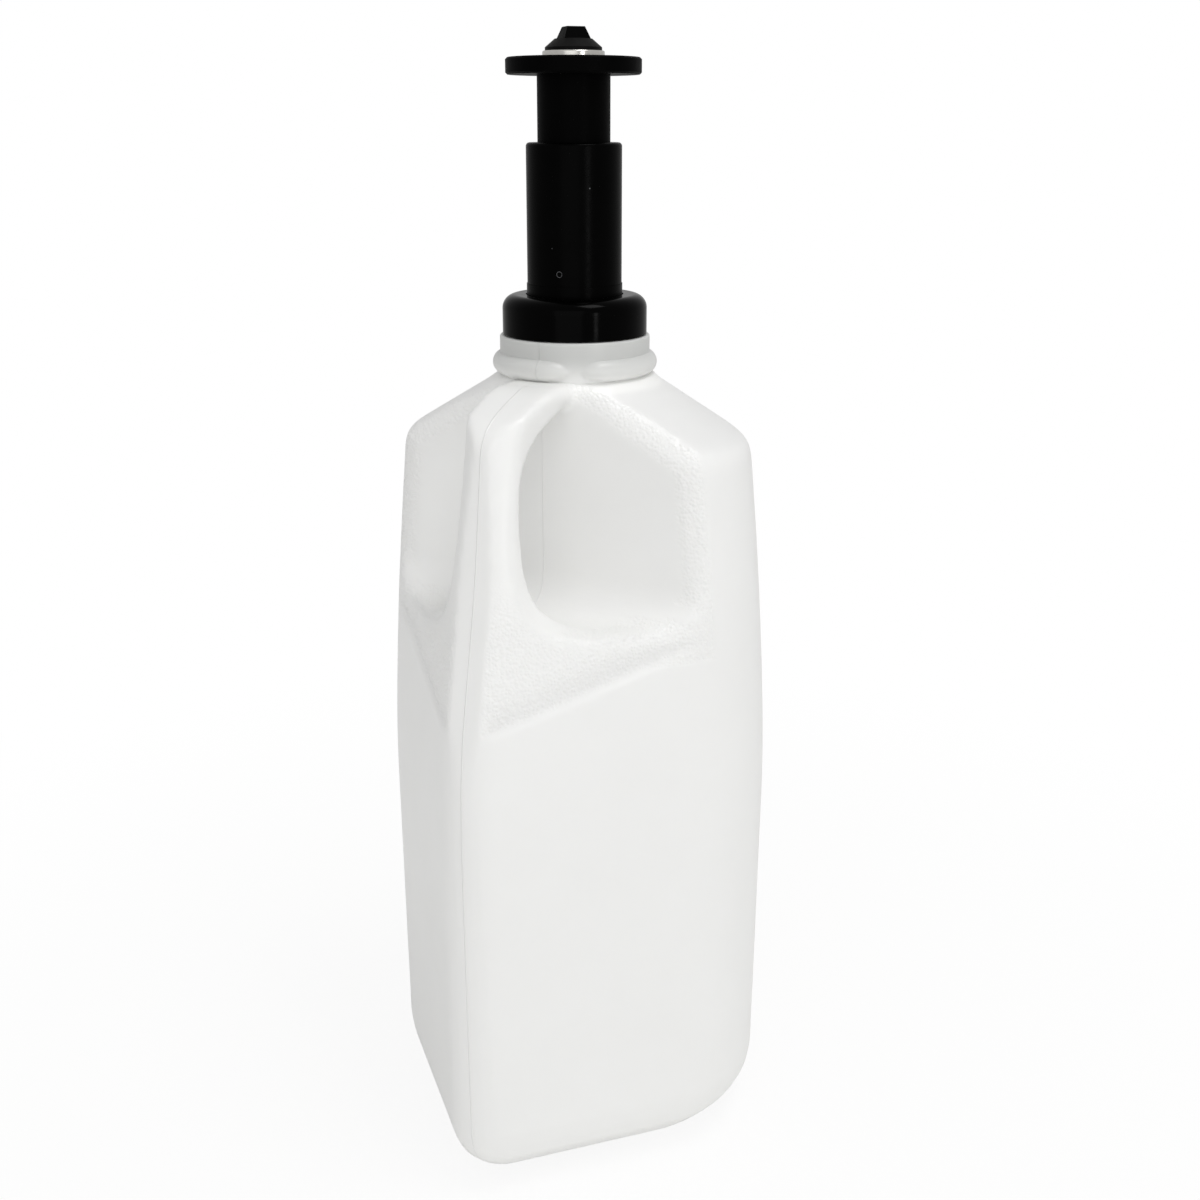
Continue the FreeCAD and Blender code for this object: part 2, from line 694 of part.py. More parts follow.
def valve_stem():
    """The rod that holds the outlet seal still while the plunger slides."""
    top = NOSE_BOTTOM_Z + NOSE_H / 2 - STEM_GAP
    solid = ring(0, STEM_D / 2, NUT_BOTTOM_Z - STEM_TAIL, top)
    stopper_top = STOPPER_Z + STOPPER_T
    solid = solid.fuse(ring(0, STEM_SHOULDER_OD / 2, stopper_top, stopper_top + STEM_SHOULDER_T))
    solid = solid.fuse(ring(0, STEM_SHOULDER_OD / 2, CARRIER_TOP_Z, CARRIER_TOP_Z + STEM_SHOULDER_T))
    groove_r = STEM_D / 2 - CLIP_GROOVE_DEPTH
    return solid.cut(ring(groove_r, STEM_D, STOPPER_Z - CLIP_T, STOPPER_Z))


def stem_carrier():
    """The spider in the barrel's foot that holds the stem and lets liquid pass."""
    hub = ring(0, CARRIER_HUB_D / 2, CARRIER_BOTTOM_Z, CARRIER_TOP_Z)
    solid = hub.fuse(ring(CARRIER_R - CARRIER_RIM_W, CARRIER_R, CARRIER_BOTTOM_Z, CARRIER_TOP_Z))
    reach = CARRIER_R - CARRIER_RIM_W / 2
    for number in range(CARRIER_ARMS):
        corner = FreeCAD.Vector(0, -CARRIER_ARM_W / 2, CARRIER_BOTTOM_Z)
        arm = Part.makeBox(reach, CARRIER_ARM_W, CARRIER_T, corner)
        arm.rotate(ZERO, UP, 360 * number / CARRIER_ARMS)
        solid = solid.fuse(arm)
    return solid.cut(ring(0, STEM_D / 2 + STEM_GAP, CARRIER_BOTTOM_Z, CARRIER_TOP_Z))


def stem_washer():
    """The washer under the stem nut."""
    return ring(STEM_D / 2 + STEM_GAP, WASHER_OD / 2, WASHER_BOTTOM_Z, CARRIER_BOTTOM_Z)


def stem_nut():
    """The hexagon nut that pulls the stem's shoulder down on the carrier."""
    corner_r = NUT_FLATS / math.sqrt(3)
    points = []
    for number in range(6):
        angle = math.radians(60 * number)
        points.append(FreeCAD.Vector(corner_r * math.cos(angle), corner_r * math.sin(angle), NUT_BOTTOM_Z))
    face = Part.Face(Part.makePolygon(points + points[:1]))
    solid = face.extrude(UP * NUT_T)
    return solid.cut(ring(0, STEM_D / 2 + STEM_GAP, NUT_BOTTOM_Z, WASHER_BOTTOM_Z))


def inlet_stopper():
    """The piston that shuts the plunger's foot at the end of the stroke."""
    top = STOPPER_Z + STOPPER_T
    solid = ring(STEM_D / 2 + STEM_GAP, STOPPER_OD / 2, STOPPER_Z, top)
    mid = STOPPER_Z + STOPPER_T / 2
    half = STOPPER_RING_SECTION / 2 + SEAT_GAP
    floor_r = STOPPER_RING_OD / 2 - STOPPER_RING_SECTION
    return solid.cut(ring(floor_r, STOPPER_OD, mid - half, mid + half))


def inlet_o_ring():
    """The ring in the inlet stopper's groove."""
    mean_r = (STOPPER_RING_OD - STOPPER_RING_SECTION) / 2
    return spun_ring(mean_r, STOPPER_RING_SECTION, STOPPER_Z + STOPPER_T / 2)


def stopper_clip():
    """The open retaining ring in the stem's groove under the stopper."""
    inner_r = STEM_D / 2 - CLIP_GROOVE_DEPTH
    solid = ring(inner_r, CLIP_OD / 2, STOPPER_Z - CLIP_T, STOPPER_Z)
    slot = Part.makeBox(CLIP_OD, 2 * inner_r, CLIP_T, FreeCAD.Vector(0, -inner_r, STOPPER_Z - CLIP_T))
    return solid.cut(slot)


def spring_washer():
    """The flat ring the return spring stands on."""
    return ring(LEDGE_R, BARREL_BORE_R - SEAT_GAP, SPRING_LEDGE_Z, SPRING_BOTTOM_Z)


def return_spring():
    """The compression spring that pushes the plunger's collar up."""
    half = SPRING_WIRE / 2
    free = COLLAR_BOTTOM_Z - SPRING_BOTTOM_Z - SPRING_WIRE
    start = FreeCAD.Vector(SPRING_MEAN_R, 0, SPRING_BOTTOM_Z + half)
    outward = FreeCAD.Vector(1, 0, 0)
    along = FreeCAD.Vector(0, 2 * math.pi * SPRING_MEAN_R, free / SPRING_TURNS)
    upward = outward.cross(along).normalize()
    corners = []
    for number in range(SPRING_SIDES):
        angle = 2 * math.pi * number / SPRING_SIDES
        corners.append(start + (outward * math.cos(angle) + upward * math.sin(angle)) * half)
    sections = []
    steps = round(SPRING_TURNS * SPRING_STEPS)
    for step in range(steps + 1):
        section = Part.makePolygon(corners + corners[:1])
        section.rotate(ZERO, UP, 360 * step / SPRING_STEPS)
        section.translate(UP * (free * step / steps))
        sections.append(section)
    return Part.makeLoft(sections, True, True)


PIECES = [
    bottle, cap, cap_gasket, barrel, plunger, plunger_o_ring, seat_ring, valve_seal, valve_nose,
    valve_stem, stem_carrier, stem_washer, stem_nut, inlet_stopper, inlet_o_ring, stopper_clip,
    spring_washer, return_spring,
]

os.makedirs("parts", exist_ok=True)
for make in PIECES:
    shape = make()
    shape.exportStep("parts/" + make.__name__ + ".step")
    print(make.__name__, shape.ShapeType, len(shape.Solids), shape.isValid(), round(shape.Volume))
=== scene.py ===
"""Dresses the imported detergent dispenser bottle: jug, neck finish, screw cap and push valve.

Lengths are millimetres in the dataclasses, apart from the studio's, which are metres as in Blender.
The handle stands on the (-X, -Y) corner of the jug, and the mould's parting plane runs through it.
"""

import json
import logging
import math
from contextlib import contextmanager
from dataclasses import dataclass, field
from enum import Enum
from functools import cached_property
from typing import Any, Callable, Iterator, Sequence

import bpy
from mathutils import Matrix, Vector

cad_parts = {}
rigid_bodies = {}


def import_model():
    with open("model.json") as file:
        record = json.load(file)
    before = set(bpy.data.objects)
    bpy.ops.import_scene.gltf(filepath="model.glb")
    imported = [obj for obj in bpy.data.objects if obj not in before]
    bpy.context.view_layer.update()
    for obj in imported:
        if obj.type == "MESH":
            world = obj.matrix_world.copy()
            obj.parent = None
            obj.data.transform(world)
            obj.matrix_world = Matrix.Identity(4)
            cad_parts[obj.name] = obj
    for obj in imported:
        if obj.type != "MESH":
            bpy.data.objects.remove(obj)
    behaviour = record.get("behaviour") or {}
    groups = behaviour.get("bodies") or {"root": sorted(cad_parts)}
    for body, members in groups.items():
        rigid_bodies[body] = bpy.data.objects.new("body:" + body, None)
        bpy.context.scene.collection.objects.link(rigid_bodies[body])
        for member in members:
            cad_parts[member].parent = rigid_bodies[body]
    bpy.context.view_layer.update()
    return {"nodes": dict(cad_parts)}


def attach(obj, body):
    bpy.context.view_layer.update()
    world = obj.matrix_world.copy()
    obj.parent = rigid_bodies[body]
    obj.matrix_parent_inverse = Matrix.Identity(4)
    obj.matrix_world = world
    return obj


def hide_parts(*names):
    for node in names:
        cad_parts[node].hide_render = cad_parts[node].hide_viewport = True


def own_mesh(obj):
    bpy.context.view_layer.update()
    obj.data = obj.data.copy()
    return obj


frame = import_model()
MM = 0.001
ROOT_2 = math.sqrt(2)
# Vertices that lie closer than this many metres become one, in a CAD copy and in a turned profile.
CAD_WELD = 2e-6
LATHE_WELD = 1e-7
# Measures that differ by less than this many metres count as equal.
SAME = 1e-6
# Edges sharper than this many degrees stay sharp. No edge is sharper than the second angle.
SHARP_EDGE = 40.0
NEVER_SHARP = 180.0
# The share of the way to its neighbours' middle that a vertex moves in one pass of smoothing.
SMOOTH_FACTOR = 0.5
# The jug's vertex attribute that says how strongly it is stippled.
STIPPLE = "stipple"
WHITE = "#FFFFFF"
# A colour mix node's sockets go by number, because its data types share their names.
MIX_SHARE = 0
MIX_FIRST = 6
MIX_SECOND = 7
MIX_RESULT = 2
# The numbers of the sRGB curve.
SRGB_KNEE = 0.04045
SRGB_SLOPE = 12.92
SRGB_OFFSET = 0.055
SRGB_POWER = 2.4
LOG = logging.getLogger("dispenser")

Link = tuple[bpy.types.Node, str | int]
Span = tuple[float, float]
Point = tuple[float, float, float]


class Body(Enum):
    """The rigid bodies that the new pieces ride on."""

    BOTTLE = "bottle"
    VALVE = "valve"


class Slot(Enum):
    """The record's material slots that the new pieces use."""

    JUG = "natural_hdpe"
    STEEL = "stainless"


def linear(colour: str) -> tuple[float, float, float, float]:
    """Turns an sRGB hex colour to linear light.

    Args:
        colour: six hex digits with a leading hash.

    Returns:
        Red, green, blue and alpha as a shader socket takes them.
    """
    parts = [int(colour[place:place + 2], 16) / 255 for place in (1, 3, 5)]
    light = [v / SRGB_SLOPE if v <= SRGB_KNEE else ((v + SRGB_OFFSET) / (1 + SRGB_OFFSET)) ** SRGB_POWER
             for v in parts]
    return (light[0], light[1], light[2], 1.0)


def per_mm(size: float) -> float:
    """Gives a texture scale, on Object coordinates in metres.

    Args:
        size: the size of the texture's features in millimetres.

    Returns:
        The scale.
    """
    return 1.0 / (size * MM)


def ease(value: float, low: float, high: float) -> float:
    """Gives a smooth rise.

    Args:
        value: the measure.
        low: the measure up to which the rise is nought.
        high: the measure from which it is one.

    Returns:
        The rise, from nought to one.
    """
    share = max(0.0, min(1.0, (value - low) / (high - low)))
    return share * share * (3 - 2 * share)


def add_node(tree: bpy.types.NodeTree, kind: str, settings: dict[str, Any] | None = None,
             inputs: dict[Any, Any] | None = None) -> bpy.types.Node:
    """Adds one node, sets it and links it.

    Args:
        tree: the node tree.
        kind: the node's type name.
        settings: attributes of the node.
        inputs: socket name or number to a value, or to a (node, output) pair to link.

    Returns:
        The new node.
    """
    node = tree.nodes.new(kind)
    for name, value in (settings or {}).items():
        setattr(node, name, value)
    for name, value in (inputs or {}).items():
        if isinstance(value, tuple) and value and isinstance(value[0], bpy.types.Node):
            tree.links.new(value[0].outputs[value[1]], node.inputs[name])
        else:
            node.inputs[name].default_value = value
    return node


def compute(tree: bpy.types.NodeTree, operation: str, *values: Any) -> Link:
    """Adds one arithmetic node.

    Args:
        tree: the node tree.
        operation: what the node does.
        values: its inputs in order, each a number or a pair to link.

    Returns:
        The result, to link.
    """
    return add_node(tree, "ShaderNodeMath", {"operation": operation}, dict(enumerate(values))), "Value"


def remap(tree: bpy.types.NodeTree, value: Link, source: Span, target: Span = (0.0, 1.0),
          smooth: bool = False) -> Link:
    """Adds a node that turns one range of values to another and clamps it.

    Args:
        tree: the node tree.
        value: the value to turn.
        source: the range that it comes from.
        target: the range that it goes to.
        smooth: eases both ends.

    Returns:
        The result, to link.
    """
    curve = "SMOOTHSTEP" if smooth else "LINEAR"
    node = add_node(tree, "ShaderNodeMapRange", {"interpolation_type": curve},
                    {"Value": value, "From Min": source[0], "From Max": source[1],
                     "To Min": target[0], "To Max": target[1]})
    return node, "Result"


def mix_colours(tree: bpy.types.NodeTree, share: Link, first: Any, second: Any) -> Link:
    """Adds a node that mixes two colours.

    Args:
        tree: the node tree.
        share: how much of the second colour shows.
        first: a colour or a pair to link.
        second: a colour or a pair to link.

    Returns:
        The mixed colour, to link.
    """
    node = add_node(tree, "ShaderNodeMix", {"data_type": "RGBA"},
                    {MIX_SHARE: share, MIX_FIRST: first, MIX_SECOND: second})
    return node, MIX_RESULT


def noise(tree: bpy.types.NodeTree, place: Link, size: float, detail: float, roughness: float = 0.5) -> Link:
    """Adds a noise.

    Args:
        tree: the node tree.
        place: the coordinates.
        size: the size of its clouds in millimetres.
        detail: how many finer layers it has.
        roughness: how strong the finer layers are.

    Returns:
        The noise, to link.
    """
    node = add_node(tree, "ShaderNodeTexNoise", {"noise_dimensions": "3D"},
                    {"Vector": place, "Scale": per_mm(size), "Detail": detail, "Roughness": roughness})
    return node, "Fac"


def bump(tree: bpy.types.NodeTree, height: Link, depth: float, under: Link | None = None,
         strength: float = 1.0, invert: bool = False) -> Link:
    """Adds a bump.

    Args:
        tree: the node tree.
        height: the height from nought to one.
        depth: what a height of one stands for, in millimetres.
        under: the normal of a bump below this one.
        strength: how much of the bump shows.
        invert: turns heights to hollows.

    Returns:
        The bumped normal, to link.
    """
    inputs: dict[Any, Any] = {"Height": height, "Strength": strength, "Distance": depth * MM}
    if under:
        inputs["Normal"] = under
    return add_node(tree, "ShaderNodeBump", {"invert": invert}, inputs), "Normal"


@dataclass(frozen=True)
class Finish:
    """A plain moulded or machined finish: colour, gloss and a fine surface grain."""

    name: str
    colour: str
    shade: str
    roughness: float
    rough_spread: float
    ior: float = 1.5
    specular: float = 0.5
    metallic: float = 0.0
    mottle_mm: float = 9.0
    mottle_detail: float = 4.0
    smear_share: float = 0.4
    smear_detail: float = 5.0
    smear_roughness: float = 0.65
    smear_range: Span = (0.3, 0.7)
    grain_mm: float = 0.5
    grain_depth_mm: float = 0.01
    grain_detail: float = 2.0

    def material(self) -> bpy.types.Material:
        """Makes the finish's material, once.

        Returns:
            The material.
        """
        made = bpy.data.materials.get(self.name)
        if made is None:
            made = bpy.data.materials.new(self.name)
            made.use_nodes = True
            made.node_tree.nodes.clear()
            self.weave(made.node_tree)
        return made

    def ground(self, tree: bpy.types.NodeTree) -> tuple[Link, Link, Link]:
        """Adds the colour variation and roughness that every finish shares.

        Args:
            tree: the material's node tree.

        Returns:
            The coordinates, the colour and the roughness, to link.
        """
        place = (add_node(tree, "ShaderNodeTexCoord"), "Object")
        cloud = noise(tree, place, self.mottle_mm, self.mottle_detail)
        colour = mix_colours(tree, cloud, linear(self.colour), linear(self.shade))
        smear = noise(tree, place, self.mottle_mm * self.smear_share, self.smear_detail,
                      self.smear_roughness)
        gloss = remap(tree, smear, self.smear_range,
                      (self.roughness - self.rough_spread, self.roughness + self.rough_spread))
        return place, colour, gloss

    def weave(self, tree: bpy.types.NodeTree) -> None:
        """Fills the node tree of a plain finish.

        Args:
            tree: the material's empty node tree.
        """
        place, colour, gloss = self.ground(tree)
        grain = noise(tree, place, self.grain_mm, self.grain_detail)
        shader = add_node(tree, "ShaderNodeBsdfPrincipled", {},
                          {"Base Color": colour, "Roughness": gloss, "Metallic": self.metallic,
                           "IOR": self.ior, "Specular IOR Level": self.specular,
                           "Normal": bump(tree, grain, self.grain_depth_mm)})
        add_node(tree, "ShaderNodeOutputMaterial", {}, {"Surface": (shader, "BSDF")})


@dataclass(frozen=True)
class Scuffed(Finish):
    """A satin finish with a few pale specks from handling and the pale ring of the moulding gate."""

    speck_gap_mm: float = 5.5
    speck_mm: float = 0.22
    speck_core: float = 0.6
    speck_colour: str = "#5C5C5E"
    gate_at_mm: Point = (-7.91, -10.5, 256.8)
    gate_r_mm: float = 0.85
    gate_line_mm: float = 0.07

    def ground(self, tree: bpy.types.NodeTree) -> tuple[Link, Link, Link]:
        """Lays the specks and the gate's ring over the plain ground.

        Args:
            tree: the material's node tree.

        Returns:
            The coordinates, the marked colour and the roughness, to link.
        """
        place, colour, gloss = super().ground(tree)
        pale = linear(self.speck_colour)
        cells = add_node(tree, "ShaderNodeTexVoronoi", {"feature": "F1"},
                         {"Vector": place, "Scale": per_mm(self.speck_gap_mm)})
        edge = self.speck_mm / self.speck_gap_mm
        speck = remap(tree, (cells, "Distance"), (edge * self.speck_core, edge), (1.0, 0.0))
        marked = mix_colours(tree, speck, colour, pale)
        gate = add_node(tree, "ShaderNodeVectorMath", {"operation": "DISTANCE"},
                        {0: place, 1: [length * MM for length in self.gate_at_mm]})
        ring = compute(tree, "COMPARE", (gate, "Value"), self.gate_r_mm * MM, self.gate_line_mm * MM)
        return place, mix_colours(tree, ring, marked, pale), gloss


@dataclass(frozen=True)
class BlowMoulded(Finish):
    """Natural high-density polyethylene, blow-moulded: milky and waxy, with stipple, a parting line and
    painted shade at the neck.
    """

    stipple_mm: float = 0.85
    stipple_depth_mm: float = 0.22
    stipple_melt: float = 0.4
    parting_mm: float = 0.3
    parting_depth_mm: float = 0.12
    streak_mm: float = 2.2
    streak_detail: float = 3.0
    streak_squeeze: Point = (0.12, 0.12, 1.0)
    streak_strength: float = 0.6
    # The neck's painted shade, a grey for the black valve seen through the wall, and the heights it comes in
    # over.
    neck_shade_colour: str = "#C6C7C5"
    neck_shade_mm: Span = (226.0, 236.0)
    scatter: float = 0.3
    scatter_mm: float = 3.0
    scatter_tint: Point = (1.0, 1.0, 0.95)
    clearness: float = 0.04

    def heights(self, tree: bpy.types.NodeTree, place: Link) -> Link:
        """Adds the bumps: flow streaks, the parting line across the handle and the stipple.

        Args:
            tree: the material's node tree.
            place: the coordinates.

        Returns:
            The bumped normal, to link.
        """
        mask = add_node(tree, "ShaderNodeAttribute", {"attribute_name": STIPPLE})
        cells = add_node(tree, "ShaderNodeTexVoronoi", {"feature": "SMOOTH_F1"},
                         {"Vector": place, "Scale": per_mm(self.stipple_mm),
                          "Smoothness": self.stipple_melt})
        leather = compute(tree, "MULTIPLY", (cells, "Distance"), (mask, "Fac"))
        split = add_node(tree, "ShaderNodeSeparateXYZ", {}, {"Vector": place})
        aside = compute(tree, "ABSOLUTE", compute(tree, "SUBTRACT", (split, "X"), (split, "Y")))
        line = remap(tree, aside, (0.0, self.parting_mm * MM * ROOT_2), (1.0, 0.0), smooth=True)
        flatten = add_node(tree, "ShaderNodeMapping", {}, {"Vector": place, "Scale": self.streak_squeeze})
        streak = noise(tree, (flatten, "Vector"), self.streak_mm, self.streak_detail)
        waves = bump(tree, streak, self.grain_depth_mm, strength=self.streak_strength)
        ridge = bump(tree, line, self.parting_depth_mm, waves)
        return bump(tree, leather, self.stipple_depth_mm, ridge, invert=True)

    def weave(self, tree: bpy.types.NodeTree) -> None:
        """Fills the node tree of the jug's wall.

        Args:
            tree: the material's empty node tree.
        """
        place, colour, gloss = self.ground(tree)
        split = add_node(tree, "ShaderNodeSeparateXYZ", {}, {"Vector": place})
        climb = remap(tree, (split, "Z"), (self.neck_shade_mm[0] * MM, self.neck_shade_mm[1] * MM), smooth=True)
        # Painted shade: a grey that comes in with height stands for the black valve seen dark through the
        # milky neck.
        neck_shaded_colour = mix_colours(tree, climb, colour, linear(self.neck_shade_colour))
        shader = add_node(tree, "ShaderNodeBsdfPrincipled", {"subsurface_method": "RANDOM_WALK"},
                          {"Base Color": neck_shaded_colour, "Roughness": gloss, "IOR": self.ior,
                           "Subsurface Weight": self.scatter, "Subsurface Radius": self.scatter_tint,
                           "Subsurface Scale": self.scatter_mm * MM, "Transmission Weight": self.clearness,
                           "Normal": self.heights(tree, place)})
        add_node(tree, "ShaderNodeOutputMaterial", {}, {"Surface": (shader, "BSDF")})


# Unpigmented blow-moulding polyethylene: a milky white that lets light bleed and shines softly.
NATURAL_HDPE = BlowMoulded("natural_blow_moulded_hdpe", "#F8F8F6", "#F3F3F1", 0.34, 0.05, 1.53,
                           mottle_mm=30.0, grain_depth_mm=0.05)
# Injection-moulded polypropylene from a polished tool: deep black with clear reflections.
GLOSS_PP = Finish("polished_black_polypropylene", "#010101", "#020202", 0.13, 0.04, 1.49, specular=0.03,
                  mottle_mm=12.0, grain_mm=2.5, grain_depth_mm=0.012)
# Acetal barrel from a satin tool: black with a long soft highlight, pale specks and the gate's ring.
SATIN_ACETAL = Scuffed("satin_black_acetal", "#010101", "#030303", 0.26, 0.05, 1.48, specular=0.022,
                       mottle_mm=7.0, grain_mm=0.6, grain_depth_mm=0.008)
# Turned acetal of the valve's inner pieces, plunger and nose: duller, without a clear reflection.
MATT_ACETAL = Finish("turned_matt_black_acetal", "#020202", "#040404", 0.42, 0.06, 1.48, specular=0.015,
                     mottle_mm=6.0, grain_mm=0.4, grain_depth_mm=0.012)
# Moulded nitrile rubber: soft black with a powdery bloom.
NITRILE = Finish("moulded_nitrile_rubber", "#060606", "#0B0B0A", 0.50, 0.08, 1.52, specular=0.06,
                 mottle_mm=3.0, grain_mm=0.3, grain_depth_mm=0.02)
# Polished stainless steel: bright, with a faint fine grain.
STAINLESS = Finish("polished_stainless_steel", "#D6D4CF", "#C4C2BD", 0.22, 0.06, metallic=1.0,
                   mottle_mm=4.0, grain_mm=0.25, grain_depth_mm=0.006)


def focus(obj: bpy.types.Object) -> None:
    """Deselects everything and makes one object active.

    Args:
        obj: the object that the next operators act on.
    """
    if bpy.context.object and bpy.context.object.mode != "OBJECT":
        bpy.ops.object.mode_set(mode="OBJECT")
    bpy.ops.object.select_all(action="DESELECT")
    bpy.context.view_layer.objects.active = obj
    obj.select_set(True)


@contextmanager
def editing(obj: bpy.types.Object) -> Iterator[None]:
    """Opens edit mode on one object, where vertices are selected, and closes it again.

    Args:
        obj: the mesh object.

    Yields:
        Nothing.
    """
    focus(obj)
    bpy.ops.object.mode_set(mode="EDIT")
    bpy.ops.mesh.select_mode(type="VERT")
    try:
        yield
    finally:
        bpy.ops.object.mode_set(mode="OBJECT")


def apply_modifier(obj: bpy.types.Object, kind: str, **settings: Any) -> None:
    """Adds one modifier and applies it.

    Args:
        obj: the object to change.
        kind: the modifier's type.
        settings: the modifier's values.
    """
    focus(obj)
    modifier = obj.modifiers.new(kind.lower(), kind)
    for name, value in settings.items():
        setattr(modifier, name, value)
    bpy.ops.object.modifier_apply(modifier=modifier.name)


def pick_vertices(obj: bpy.types.Object, test: Callable[[Vector], bool]) -> None:
    """Selects, in object mode, the vertices that pass a test.

    Args:
        obj: the mesh object.
        test: takes a vertex place in metres.
    """
    for polygon in obj.data.polygons:
        polygon.select = False
    for edge in obj.data.edges:
        edge.select = False
    for vertex in obj.data.vertices:
        vertex.select = test(vertex.co)


def copy_node(node: str, name: str) -> bpy.types.Object:
    """Copies a CAD node and merges the copy's doubled vertices.

    Args:
        node: the CAD node's name.
        name: the copy's name.

    Returns:
        The copy.
    """
    obj = bpy.data.objects.new(name, frame["nodes"][node].data.copy())
    bpy.context.scene.collection.objects.link(obj)
    with editing(obj):
        bpy.ops.mesh.select_all(action="SELECT")
        bpy.ops.mesh.remove_doubles(threshold=CAD_WELD)
    return obj


def cut_above(obj: bpy.types.Object, height: float, fill: bool = False) -> None:
    """Cuts off what stands above a height.

    Args:
        obj: the mesh object.
        height: where the cut is, in millimetres.
        fill: closes the cut with a face.
    """
    with editing(obj):
        bpy.ops.mesh.select_all(action="SELECT")
        bpy.ops.mesh.bisect(plane_co=(0, 0, height * MM), plane_no=(0, 0, 1), use_fill=fill,
                            clear_outer=True)


def close_holes(obj: bpy.types.Object) -> None:
    """Closes the open edges of a mesh.

    Args:
        obj: the mesh object.
    """
    with editing(obj):
        bpy.ops.mesh.select_all(action="DESELECT")
        bpy.ops.mesh.select_non_manifold()
        bpy.ops.mesh.edge_face_add()


def join(obj: bpy.types.Object, other: bpy.types.Object) -> None:
    """Joins one object into another.

    Args:
        obj: the object that stays.
        other: the object that goes into it.
    """
    focus(obj)
    other.select_set(True)
    bpy.ops.object.join()


def new_plane(name: str, size: float) -> bpy.types.Object:
    """Adds a flat square to work from.

    Args:
        name: its name.
        size: its side in metres.

    Returns:
        The square, active.
    """
    bpy.ops.object.select_all(action="DESELECT")
    bpy.ops.mesh.primitive_plane_add(size=size, location=(0, 0, 0))
    obj = bpy.context.object
    obj.name = name
    obj.data.name = name
    return obj


def lathe(name: str, profile: Sequence[Span], steps: int) -> bpy.types.Object:
    """Turns a closed profile about the Z axis.

    Args:
        name: the new piece's name.
        profile: (radius, height) points in millimetres, run so that the material is on their left.
        steps: how many faces go round.

    Returns:
        The new closed ring.
    """
    obj = new_plane(name, MM)
    pick_vertices(obj, lambda place: False)
    obj.data.vertices[0].select = True
    here = obj.data.vertices[0].co.copy()
    points = [Vector((r * MM, 0, z * MM)) for r, z in profile]
    with editing(obj):
        bpy.ops.mesh.select_all(action="INVERT")
        bpy.ops.mesh.delete(type="VERT")
        bpy.ops.mesh.select_all(action="SELECT")
        bpy.ops.transform.translate(value=points[0] - here)
        here = points[0]
        for point in points[1:] + points[:1]:
            bpy.ops.mesh.extrude_region_move(TRANSFORM_OT_translate={"value": point - here})
            here = point
        bpy.ops.mesh.select_all(action="SELECT")
        bpy.ops.mesh.remove_doubles(threshold=LATHE_WELD)
        bpy.ops.mesh.select_all(action="SELECT")
        bpy.ops.mesh.spin(steps=steps, angle=2 * math.pi, center=(0, 0, 0), axis=(0, 0, 1))
        bpy.ops.mesh.select_all(action="SELECT")
        bpy.ops.mesh.remove_doubles(threshold=LATHE_WELD)
        bpy.ops.mesh.normals_make_consistent(inside=False)
    return obj


def arc(centre: Span, radius: float, start: float, end: float, steps: int) -> list[Span]:
    """Gives points on an arc of a lathe profile.

    Args:
        centre: the arc's centre as (radius, height) in millimetres.
        radius: the arc's own radius.
        start: the first angle in degrees.
        end: the last angle in degrees.
        steps: how many runs the arc has.

    Returns:
        The points, both ends included.
    """
    points = []
    for step in range(steps + 1):
        angle = math.radians(start + (end - start) * step / steps)
        points.append((centre[0] + radius * math.cos(angle), centre[1] + radius * math.sin(angle)))
    return points


def settle(obj: bpy.types.Object, finish: Finish, body: Body, nodes: Sequence[str],
           smooth_angle: float = SHARP_EDGE) -> None:
    """Dresses a finished piece and hangs it on its body.

    Args:
        obj: the piece.
        finish: what it is made of.
        body: the body it rides on.
        nodes: the CAD nodes it stands for.
        smooth_angle: edges sharper than this many degrees stay sharp.
    """
    focus(obj)
    bpy.ops.object.shade_smooth_by_angle(angle=math.radians(smooth_angle))
    obj.data.materials.clear()
    obj.data.materials.append(finish.material())
    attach(obj, body.value)
    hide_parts(*nodes)
    LOG.info("%s: %d faces", obj.name, len(obj.data.polygons))


@dataclass(frozen=True)
class Plane:
    """A plane of the jug's outside, with its normal pointing out of the wall."""

    point: Vector
    normal: Vector

    def over(self, place: Vector) -> float:
        """Gives how far a point stands out of the plane.

        Args:
            place: the point in millimetres.

        Returns:
            The distance in millimetres, negative behind the plane.
        """
        return (place - self.point).dot(self.normal)


@dataclass(frozen=True)
class Spot:
    """A point of the jug's skin, with its mirror image on the right of the handle.

    It lies so far out along the handle's corner, and so wide of the parting plane.
    """

    right: Vector
    out: float
    wide: float

    @classmethod
    def of(cls, vertex: bpy.types.MeshVertex) -> "Spot":
        """Finds where a vertex lies.

        Args:
            vertex: the skin's vertex.

        Returns:
            Its spot.
        """
        x, y, z = vertex.co / MM
        return cls(Vector((max(x, y), min(x, y), z)), -(x + y) / ROOT_2, abs(x - y) / ROOT_2)


